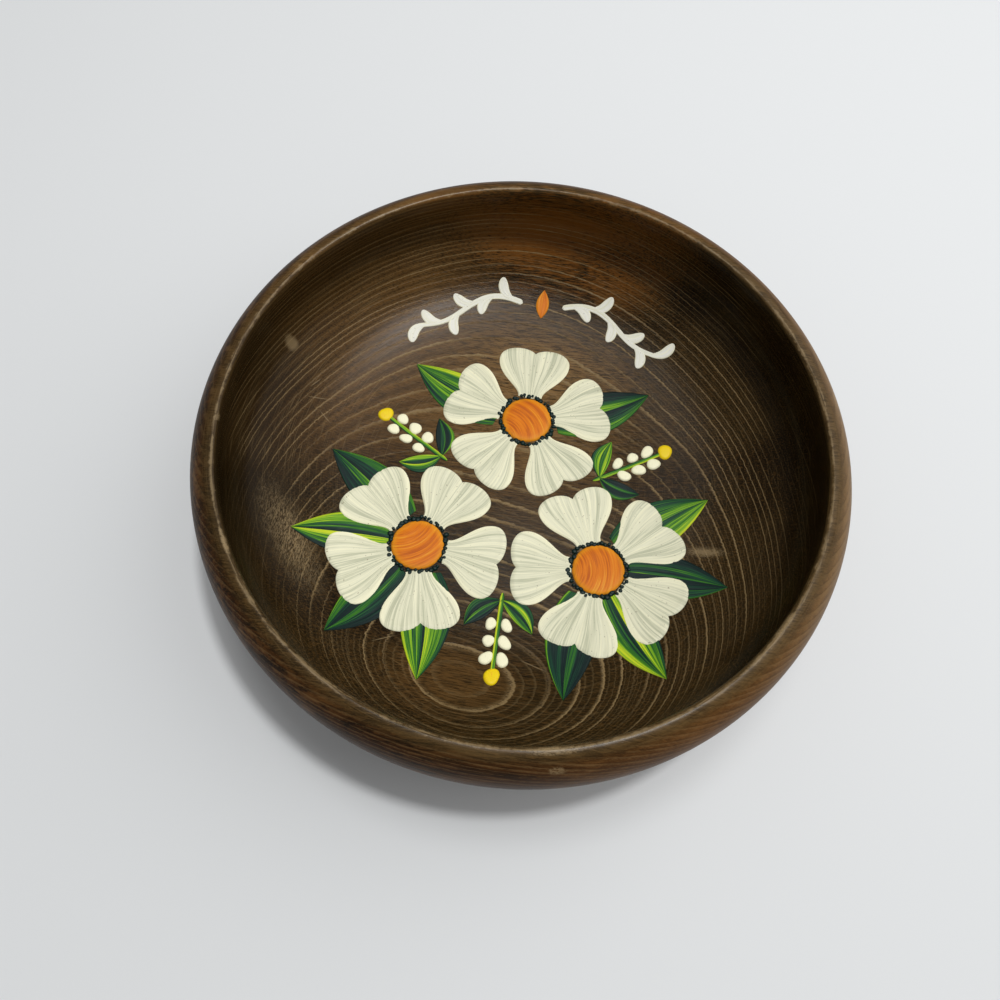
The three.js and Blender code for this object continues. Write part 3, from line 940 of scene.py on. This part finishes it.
    def with_rings(self, body):
        """Lays open wood over the stain: hair lines, rings, the tool's marks, and end grain darkened partly
        as painted shade.
        """
        look, x, y, upper = self.look, self.x, self.y, self.upper
        low_left = self.step(x, -55, -92) * (1 - upper)
        depth = self.crest + (self.patch - 0.5) * 30 + upper * 28 - low_left * 17
        deep = self.step(depth, 24, 46, 0.22, 1.0)
        hair = self.step((self.rings * 3 + 0.4).fraction(), 0.70, 0.96) * self.step(self.patch, 0.38, 0.55)
        bold = self.noise(self.join(self.rings.floor() * 0.71, x * 0.016, y * 0.016), 1.0)
        return self.layered(
            body,
            (hair * deep * 0.17, look.ring),
            (self.line * deep * self.step(bold, 0.36, 0.66, 0.15, 0.95), look.ring),
            (self.step(self.tool, 0.55, 0.70) * (0.16 + 0.2 * upper), look.ring),
            # Darker end grain, partly real and partly painted shade, with more of it on the left.
            (self.step(self.end_grain, 0.25, 0.85) * self.step(x, -60, 60, 0.38, 0.20), look.dark),
        )

    def shell(self):
        """The stain outside, in black streaks and warm blotches, with painted light on the side towards the
        window.
        """
        look, streak = self.look, self.streak
        # How far a point is towards the window's side, for the painted light there.
        lit = self.step(self.x, -20, 100)
        blotch = self.figure((0.03, 0.07, 0.10), 3.0) + (streak - 0.5) * 0.9 + lit * 0.12
        frayed = self.saw + (self.grain - 0.5) * 1.1 + (streak - 0.5) * 1.2
        return self.layered(
            look.shell_dark,
            (self.step(streak + lit * 0.1, 0.34, 0.58), look.shell),
            (self.step(blotch, 0.44, 0.78) * 0.45, look.shell_warm_and_painted_light),
            (self.step(self.fibre, 0.47, 0.62) * (0.18 + 0.4 * lit), look.shell_warm_and_painted_light),
            # Painted light towards the window; on the far right it is partly worn wood and partly painted
            # light.
            (lit * 0.6, look.shell_warm_and_painted_light),
            (self.step(self.x, 70, 116) * 0.3, look.worn),
            (self.step(frayed, 0.55, 0.95) * self.step(self.saw, 1.0, 0.93) * 0.2, look.ring),
            (self.step(frayed, 0.45, 0.05) * 0.3, look.shell_dark),
        )

    def wear(self):
        """Where the hollow's finish is worn: a pale spot, a scuff, a smear and scratches."""
        fleck = self.fleck - 0.5
        spot = self.step(self.mark(*PALE_SPOT) + fleck * 0.8, 1.2, 0.5)
        scratchy = self.figure((3.2, 0.7, 1.2), 3.0, 0.7, (0, 0, 0.7))
        scuff = self.step(self.mark(*SCUFF) + fleck * 0.9, 1.2, 0.1) * self.step(scratchy, 0.40, 0.62)
        smear = self.step(self.mark(*SMEAR) + (self.grain - 0.5) * 2.0, 1.0, 0.1)
        scratches = [self.mark(*scratch, SCRATCH_HALF_WIDTH) for scratch in SCRATCHES]
        scratched = sum(self.step(scratch, 1.0, 0.4) for scratch in scratches)
        wear = spot * 0.42 + scuff * 0.6 + smear * 0.55 + scratched * 0.4
        return wear * self.step(self.crest, 19, 22)

    def bare_patches(self):
        """Patches on top of the rim where the finish has come off."""
        fleck = (self.fleck - 0.5) * 1.6
        bare = sum(self.step(self.mark(*patch) + fleck, 1.1, 0.5) for patch in RIM_PATCHES)
        on_rim = self.step(self.crest, 3.5, 1.5) * self.step(self.crest, -10, -7)
        return bare * on_rim * self.step(self.grain, 0.35, 0.6) * 0.5

    def rim_band(self):
        """The rubbed band along the rim, which is broken up by the fibres and fades to the left."""
        worn = abs(self.crest + 0.4) + (self.rubbed - 0.5) * 6 + (self.fibre - 0.5) * 3
        fibres = self.step(self.fibre + (self.streak - 0.5) * 0.8, 0.30, 0.60, 0.45, 1.0)
        return self.step(worn, 3.6, 0.4) * self.step(self.x, -80, 80, 0.30, 0.62) * fibres

    def rim_edge(self):
        """The thin bare line along the rim's inner edge."""
        worn = abs(self.crest - 0.5) + (self.fleck - 0.5) * 3.5
        return self.step(worn, 0.8, 0.0) * self.step(self.rubbed, 0.36, 0.56)


def wood_finish():
    """The bowl's wood: its stain inside and outside, its wear, and the sheen of its lacquer."""
    wood = BowlWood()
    look = wood.look
    band = wood.rim_band()
    body = wood.layered(
        wood.with_rings(wood.stain()),
        (wood.outside, wood.shell()),
        (wood.wear(), look.worn),
        (band, look.rim),
        (wood.rim_edge() * 0.5, look.worn),
        (wood.bare_patches(), look.worn),
    )
    height = wood.fibre * 0.5 + wood.grain * 0.3 + wood.tool * 0.25 - wood.line * 0.5
    roughness = 0.12 + 0.11 * wood.fibre + 0.08 * wood.grain + 0.10 * band + 0.20 * wood.outside
    crown = wood.step(abs(wood.crest - 0.2) + (wood.rubbed - 0.5) * 1.5, 2.0, 0.5)
    others = {"Specular IOR Level": 0.078, "Coat Weight": crown * 0.15, "Coat Roughness": 0.30}
    return wood.finish(body, roughness, wood.bump(height, 0.00010, 0.7), others)


class BOWL_OT_turn_body(bpy.types.Operator):
    """Turns the wooden body of the bowl"""

    bl_idname = "bowl.turn_body"
    bl_label = "Turn the body"

    def execute(self, context):
        profile = bowl_profile()
        sides = settings("bowl_shape").sides
        body = (*lathe(profile, sides), {"turning": turning(profile, sides)})
        make_piece("bowl_wood", body, wood_finish(), "stained_wood", "bowl_body")
        return {"FINISHED"}


class BOWL_OT_paint_petals(bpy.types.Operator):
    """Paints the heart-shaped petals"""

    bl_idname = "bowl.paint_petals"
    bl_label = "Paint the petals"

    def execute(self, context):
        look = settings("paint_look")
        material = cream_finish("brushed_cream", look.cream, look.cream_thin)
        rng = np.random.default_rng(PETAL_SEED)
        for number in BLOSSOM_NUMBERS:
            for i in range(PETAL_COUNT):
                bearing = blossom_bearing(number) + 2 * math.pi * i / PETAL_COUNT
                petal = heart_petal(bearing, blossom_centre(number), rng)
                node = f"blossom_{number}_petal_{i + 1}"
                make_piece(f"{node}_paint", petal, material, "cream_paint", node)
        return {"FINISHED"}


class BOWL_OT_paint_eyes(bpy.types.Operator):
    """Paints the domed eyes of the blossoms"""

    bl_idname = "bowl.paint_eyes"
    bl_label = "Paint the eyes"

    def execute(self, context):
        material = orange_finish()
        for number in BLOSSOM_NUMBERS:
            node = f"blossom_{number}_eye"
            make_piece(f"{node}_paint", eye_dome(number), material, "orange_paint", node)
        return {"FINISHED"}


def round_dab(centre, radii, bearing, film, rng, steps, uneven):
    """A round dab: its height is the root of one less the fourth power of the share of its radius.

    It is a grid of rings and spokes, closed by a pole at its top and another underneath. Two waves round
    its edge make it uneven."""
    sunk = -settings("paint_look").sunk
    rings, sides = steps
    spoke = np.linspace(0, 2 * math.pi, sides, endpoint=False)
    phase = rng.uniform(0, 2 * math.pi, 2)
    wobble = 1 + uneven * (np.cos(2 * spoke + phase[0]) + 0.6 * np.cos(3 * spoke + phase[1]))
    s = np.linspace(0, 1, rings + 1)[1:, None]
    local = np.stack([radii[0] * s * wobble * np.cos(spoke), radii[1] * s * wobble * np.sin(spoke)], -1)
    plan = turned(local.reshape(-1, 2), bearing, centre).reshape(rings, sides, 2)
    x, y = plan[..., 0], plan[..., 1]
    lift = film * (0.04 + 0.96 * flat_top(s, 4)) + 0 * x
    top = on_hollow(x, y, lift).reshape(-1, 3)
    under = on_hollow(x[-1], y[-1], np.full(sides, sunk))
    poles = on_hollow(np.full(2, centre[0]), np.full(2, centre[1]), np.array([film, sunk]))
    points = np.concatenate([top, under, poles])
    bands = ring_quads(rings, sides)[:, [0, 3, 2, 1]]
    j = np.arange(sides)
    after = (j + 1) % sides
    crown = np.stack([np.full(sides, len(points) - 2), j, after], -1)
    base = np.stack([np.full(sides, len(points) - 1), rings * sides + after, rings * sides + j], -1)
    return points, bands.tolist() + crown.tolist() + base.tolist()


def eye_dome(number):
    """A blossom's domed eye, whose brush marks are arcs about a point beside it."""
    shape = settings("posy_shape")
    radius = shape.eye_radius
    centre = blossom_centre(number)
    rng = np.random.default_rng(EYE_SEED + number)
    points, faces = round_dab(centre, (radius, radius), 0, shape.eye_height, rng, EYE_STEPS, EYE_UNEVEN)
    x, y = points[:, 0] - centre[0], points[:, 1] - centre[1]
    c, s = direction(rng.uniform(0, 2 * math.pi))
    far = 1.5 * radius
    dx, dy = x + far * c, y + far * s
    swing = np.arctan2(dy * c - dx * s, dx * c + dy * s)
    brush = np.stack([np.hypot(dx, dy) / MM + 20 * number, swing * far / MM, 0 * x + number * 0.1], -1)
    stroke = np.stack([np.hypot(x, y) / radius, swing, 0 * x], -1)
    return points, faces, {"brush": brush, "stroke": stroke}


def dabs(places, film, rng, steps):
    """Several small dabs in one mesh, each given as its centre, its two radii and its bearing."""
    bodies = []
    for centre, radii, bearing in places:
        points, faces = round_dab(centre, radii, bearing, film, rng, steps, DAB_UNEVEN)
        x, y = (points[:, 0] - centre[0]) / MM, (points[:, 1] - centre[1]) / MM
        bodies.append((points, faces, {"brush": np.stack([x + rng.uniform(0, 50), y, 0 * x], -1)}))
    return gather(bodies)


def edging_places(centre, rng):
    """The places of the dabs that ring a blossom's eye, a little out of step and of size."""
    places = []
    for i in range(DAB_COUNT):
        bearing = 2 * math.pi * (i + rng.uniform(-0.3, 0.3)) / DAB_COUNT
        reach = settings("posy_shape").eye_radius + rng.uniform(*EDGING_REACH)
        radius = rng.uniform(*EDGING_RADIUS)
        radii = (radius, radius * rng.uniform(0.8, 1.1))
        places.append((centre + reach * direction(bearing), radii, bearing))
    return places


class BOWL_OT_dab_edging(bpy.types.Operator):
    """Dabs the dark edging round each eye"""

    bl_idname = "bowl.dab_edging"
    bl_label = "Dab the edging"

    def execute(self, context):
        look = settings("paint_look")
        material = dab_finish("dabbed_black_green", look.blue_black, look.deep_green)
        rng = np.random.default_rng(EDGING_SEED)
        for number in BLOSSOM_NUMBERS:
            edging = dabs(edging_places(blossom_centre(number), rng), EDGING_FILM, rng, DAB_STEPS)
            node = f"blossom_{number}_edging"
            make_piece(f"{node}_dabs", edging, material, "black_green_paint", node)
        return {"FINISHED"}


def leaf_strokes(root, bearing, length, width, bend, start, rng):
    """A whole leaf of two strokes, placed by its root and its bearing.

    Its midrib bows as a parabola and the outer edge of each half bows further. The halves lap over the
    midrib, and both meet in a small blunt tip."""
    film = settings("paint_look").leaf_film
    blunt = settings("posy_shape").leaf_tip
    rows, columns = LEAF_STEPS
    t = start + (1 - start) * eased(rows)
    strokes = []
    for side in (1, -1):
        edge = np.stack([length * t, bow(t) * (bend + side * width / 2) + side * blunt], -1)
        lap = np.stack([length * t, bow(t) * (bend - side * width * 0.03) - side * blunt * 0.3], -1)
        left, right = (edge, lap) if side > 0 else (lap, edge)
        left, right = turned(left, bearing, root), turned(right, bearing, root)
        strokes.append(brush_stroke(left, right, film, rng, columns))
    return gather(strokes)


class BOWL_OT_paint_leaves(bpy.types.Operator):
    """Paints the leaves that come out from behind the blossoms"""

    bl_idname = "bowl.paint_leaves"
    bl_label = "Paint the leaves"

    def execute(self, context):
        shape = settings("posy_shape")
        light = (green_finish("light_leaf", 0.10), "leaf_green_paint")
        dark = (green_finish("dark_leaf", -0.14), "dark_green_paint")
        side = (shape.side_reach, shape.side_width, shape.side_spread, shape.side_bend)
        back = (shape.back_reach, shape.back_width, shape.back_spread, shape.back_bend)
        rng = np.random.default_rng(LEAF_SEED)
        for number in BLOSSOM_NUMBERS:
            root = blossom_centre(number)
            leaves = [("side_leaf", side, (light, dark))]
            if number > 1:
                leaves.append(("back_leaf", back, (dark, light)))
            for kind, (reach, width, spread, bend), paints in leaves:
                for (name, hand), paint in zip(HANDS, paints):
                    length = shape.petal_tip + reach
                    bearing = blossom_bearing(number) + hand * spread
                    start = (shape.eye_radius + shape.leaf_gap) / length
                    leaf = leaf_strokes(root, bearing, length, width, hand * bend, start, rng)
                    node = f"{kind}_{number}_{name}"
                    make_piece(f"{node}_paint", leaf, *paint, node)
        return {"FINISHED"}


def berry_places(middle, bearing, rng):
    """The places of a sprig's paired berries, from its tip down."""
    shape = settings("posy_shape")
    out = direction(bearing)
    beside = np.array([-out[1], out[0]])
    places = []
    for i in range(BERRY_PAIRS):
        for hand in (-1, 1):
            along = shape.sprig_end - shape.berry_pitch * (i + 1)
            radius = shape.berry_radius * rng.uniform(0.92, 1.08)
            spot = middle + along * out + hand * shape.berry_offset * beside
            places.append((spot, (radius * 1.1, radius * 0.9), bearing + hand * 0.6))
    return places


def sprig_leaf(middle, bearing, hand, rng):
    """One of the two small leaves near a sprig's lower end."""
    shape = settings("posy_shape")
    root = middle + (shape.sprig_start + shape.sprig_leaf_root) * direction(bearing)
    length, width = shape.sprig_leaf_length, shape.sprig_leaf_width
    bearing = bearing + hand * shape.sprig_leaf_spread
    return leaf_strokes(root, bearing, length, width, hand * shape.sprig_leaf_bend, 0, rng)


class BOWL_OT_paint_sprigs(bpy.types.Operator):
    """Paints the berry sprigs in the forks between the blossoms"""

    bl_idname = "bowl.paint_sprigs"
    bl_label = "Paint the sprigs"

    def execute(self, context):
        shape = settings("posy_shape")
        look = settings("paint_look")
        green = green_finish("stem_green", 0.22)
        leaf_paints = (
            (bpy.data.materials["light_leaf"], "leaf_green_paint"),
            (bpy.data.materials["dark_leaf"], "dark_green_paint"),
        )
        white = dab_finish("white_dots", look.cream_edge, look.cream)
        yellow = dab_finish("yellow_dots", look.yellow, look.orange_light)
        rng = np.random.default_rng(SPRIG_SEED)
        middle = posy_middle()
        rows, columns = STEM_STEPS
        t = eased(rows)
        way = shape.sprig_start + (shape.sprig_end - shape.sprig_start) * t
        radii = (shape.top_berry_radius, shape.top_berry_radius)
        for number in BLOSSOM_NUMBERS:
            bearing = blossom_bearing(number) + math.pi / 3
            out = direction(bearing)
            for (name, hand), paint in zip(HANDS, leaf_paints):
                node = f"sprig_leaf_{number}_{name}"
                make_piece(f"{node}_paint", sprig_leaf(middle, bearing, hand, rng), *paint, node)
            edges = edges_of(middle + way[:, None] * out, comma(t, shape.stem_width, 0.1, 0.8))
            stem = brush_stroke(*edges, look.leaf_film, rng, columns)
            berries = dabs(berry_places(middle, bearing, rng), look.dot_film, rng, BERRY_STEPS)
            top = dabs([(middle + shape.sprig_end * out, radii, 0)], look.dot_film, rng, BERRY_STEPS)
            node = f"berry_sprig_{number}"
            make_piece(f"{node}_stem", stem, green, "leaf_green_paint", node)
            make_piece(f"{node}_berries", berries, white, "cream_paint", node)
            make_piece(f"{node}_top", top, yellow, "yellow_paint", node)
        return {"FINISHED"}


def vine_line(t, hand):
    """A vine's middle line: an arc about the bowl's middle with one sine wave on it."""
    vine = settings("vine_shape")
    arc = bowl_radius - settings("bowl_shape").wall - vine.inset
    radius = arc + vine.wave * np.sin(2 * math.pi * t)
    bearing = math.pi / 2 + hand * (vine.start + vine.sweep * t)
    return np.stack([radius * np.cos(bearing), radius * np.sin(bearing)], -1)


def vine_leaf(i, hand):
    """The edges of a comma-shaped leaf, which is painted from its tip to the stem."""
    vine = settings("vine_shape")
    here = (i + 0.5) / vine.leaf_count
    root, ahead = vine_line(np.array([here, here + 0.01]), hand)
    x, y = ahead - root
    side = 1 if i % 2 else -1
    t = eased(VINE_LEAF_STEPS[0])
    middle = np.stack([vine.leaf_length * (1 - t), -side * vine.leaf_bend * bow(t)], -1)
    middle = turned(middle, math.atan2(y, x) + side * vine.leaf_spread, root)
    return edges_of(middle, comma(t, vine.leaf_width, 0.35, 0.25))


def vine_bud():
    """The edges of the bud, which points to the bowl's middle between the vines."""
    vine = settings("vine_shape")
    radius = bowl_radius - settings("bowl_shape").wall - vine.inset - vine.bud_length / 2
    t = eased(BUD_STEPS[0])
    middle = np.stack([0 * t, radius + vine.bud_length * t], -1)
    return edges_of(middle, np.maximum(bow(t) * vine.bud_width / 2, BUD_TIP))


class BOWL_OT_paint_vines(bpy.types.Operator):
    """Paints the pair of vines and the bud between them"""

    bl_idname = "bowl.paint_vines"
    bl_label = "Paint the vines"

    def execute(self, context):
        vine = settings("vine_shape")
        look = settings("paint_look")
        white = cream_finish("brushed_white", look.white, look.cream)
        orange = bpy.data.materials["brushed_orange"]
        rng = np.random.default_rng(VINE_SEED)
        film = look.leaf_film * VINE_FILM
        rows, columns = VINE_STEPS
        t = np.linspace(0, 1, rows)
        for name, hand in HANDS:
            edges = edges_of(vine_line(t, hand), comma(t, vine.stem_width, 0.03, 0.75))
            strokes = [brush_stroke(*edges, film, rng, columns)]
            for i in range(vine.leaf_count):
                strokes.append(brush_stroke(*vine_leaf(i, hand), film, rng, VINE_LEAF_STEPS[1]))
            make_piece(f"vine_{name}_paint", gather(strokes), white, "cream_paint", f"vine_{name}")
        bud = brush_stroke(*vine_bud(), look.leaf_film * BUD_FILM, rng, BUD_STEPS[1])
        make_piece("vine_bud_paint", bud, orange, "orange_paint", "vine_bud")
        return {"FINISHED"}


def camera_axes():
    """Right, up and back of the camera, and its place.

    It looks at the foot's middle, and then is turned by the aim and the roll."""
    stage = settings("stage_look")
    pixels = stage.lens / SENSOR_WIDTH * IMAGE_WIDTH
    back = np.array([0, -math.cos(stage.elevation), math.sin(stage.elevation)])
    right = np.array([1.0, 0, 0])
    up = np.cross(right, -back)
    up = up if up[2] > 0 else -up
    look = -back - right * (stage.aim_right / pixels) + up * (stage.aim_up / pixels)
    look = look / np.linalg.norm(look)
    level = np.cross(look, up)
    level = level / np.linalg.norm(level)
    upright = np.cross(level, look)
    c, s = math.cos(stage.roll), math.sin(stage.roll)
    return level * c + upright * s, upright * c - level * s, -look, back * stage.distance


class BOWL_OT_set_stage(bpy.types.Operator):
    """Sets up the floor, the lights and the camera"""

    bl_idname = "bowl.set_stage"
    bl_label = "Set the stage"

    def execute(self, context):
        stage = settings("stage_look")
        scene = context.scene
        scene.view_settings.view_transform = "Standard"
        self.lay_floor(scene, stage)
        scene.world = self.backdrop(stage)
        for name, place, width in LAMPS:
            self.hang_lamp(scene, name, place, width, getattr(stage, f"{name}_power"))
        scene.camera = self.aim_camera(scene, stage)
        return {"FINISHED"}

    def lay_floor(self, scene, stage):
        """A matt floor that fades into the backdrop, where the camera sees it."""
        r = FLOOR_REACH
        mesh = bpy.data.meshes.new("floor")
        mesh.from_pydata([(-r, -r, 0), (r, -r, 0), (r, r, 0), (-r, r, 0)], [], [(0, 1, 2, 3)])
        floor = bpy.data.objects.new("floor", mesh)
        scene.collection.objects.link(floor)
        ground = Finish("floor_finish")
        x, y, _ = ground.split(ground.node("ShaderNodeTexCoord", {}, {}, 3))
        reach = (x * x + y * y) ** 0.5
        faded = ground.step(reach, stage.fade_start, stage.fade_end) * ground.node("ShaderNodeLightPath")
        matt = ground.node("ShaderNodeBsdfDiffuse", {}, {"Color": as_socket(stage.floor_colour)})
        clear = ground.node("ShaderNodeBsdfTransparent")
        shader = ground.node("ShaderNodeMixShader", {}, {0: faded, 1: matt, 2: clear})
        mesh.materials.append(ground.surface(shader))

    def backdrop(self, stage):
        """A plain pale world, which lights the bowl less than it looks."""
        world = bpy.data.worlds.new("studio")
        world.use_nodes = True
        background = world.node_tree.nodes["Background"]
        background.inputs["Color"].default_value = (1, 1, 1, 1)
        seen = add_node(world.node_tree, "ShaderNodeLightPath")
        strength = seen * (stage.backdrop - stage.world_strength) + stage.world_strength
        world.node_tree.links.new(strength.socket, background.inputs["Strength"])
        return world

    def hang_lamp(self, scene, name, place, width, power):
        """A round lamp that points to the foot's middle."""
        data = bpy.data.lights.new(name, "AREA")
        data.shape = "DISK"
        data.size = width
        data.energy = power
        lamp = bpy.data.objects.new(name, data)
        z = np.array(place) / np.linalg.norm(place)
        x = np.cross((0, 0, 1), z)
        x = x / np.linalg.norm(x)
        y = np.cross(z, x)
        lamp.matrix_world = Matrix.Translation(place) @ Matrix(np.stack([x, y, z], 1).tolist()).to_4x4()
        scene.collection.objects.link(lamp)

    def aim_camera(self, scene, stage):
        right, up, behind, place = camera_axes()
        data = bpy.data.cameras.new("camera")
        data.lens = stage.lens
        data.sensor_width = SENSOR_WIDTH
        data.clip_start = CLIP_START
        camera = bpy.data.objects.new("camera", data)
        turned_axes = Matrix(np.stack([right, up, behind], 1).tolist()).to_4x4()
        camera.matrix_world = Matrix.Translation(place.tolist()) @ turned_axes
        scene.collection.objects.link(camera)
        return camera


OPERATORS = (
    BOWL_OT_turn_body,
    BOWL_OT_paint_petals,
    BOWL_OT_paint_eyes,
    BOWL_OT_dab_edging,
    BOWL_OT_paint_leaves,
    BOWL_OT_paint_sprigs,
    BOWL_OT_paint_vines,
    BOWL_OT_set_stage,
)


class BOWL_PT_panel(bpy.types.Panel):
    """Lists the steps that make the bowl"""

    bl_idname = "BOWL_PT_panel"
    bl_label = "Painted bowl"
    bl_space_type = "VIEW_3D"
    bl_region_type = "UI"
    bl_category = "Bowl"

    def draw(self, context):
        for operator in OPERATORS:
            self.layout.operator(operator.bl_idname)


def register():
    for group in GROUPS.values():
        bpy.utils.register_class(group)
    for name, group in GROUPS.items():
        setattr(bpy.types.Scene, name, PointerProperty(type=group))
    for item in (*OPERATORS, BOWL_PT_panel):
        bpy.utils.register_class(item)


def unregister():
    for item in reversed((*OPERATORS, BOWL_PT_panel)):
        bpy.utils.unregister_class(item)
    for name in GROUPS:
        delattr(bpy.types.Scene, name)
    for group in reversed(list(GROUPS.values())):
        bpy.utils.unregister_class(group)


def main():
    register()
    for operator in OPERATORS:
        group, name = operator.bl_idname.split(".")
        getattr(getattr(bpy.ops, group), name)()


if __name__ == "__main__":
    main()
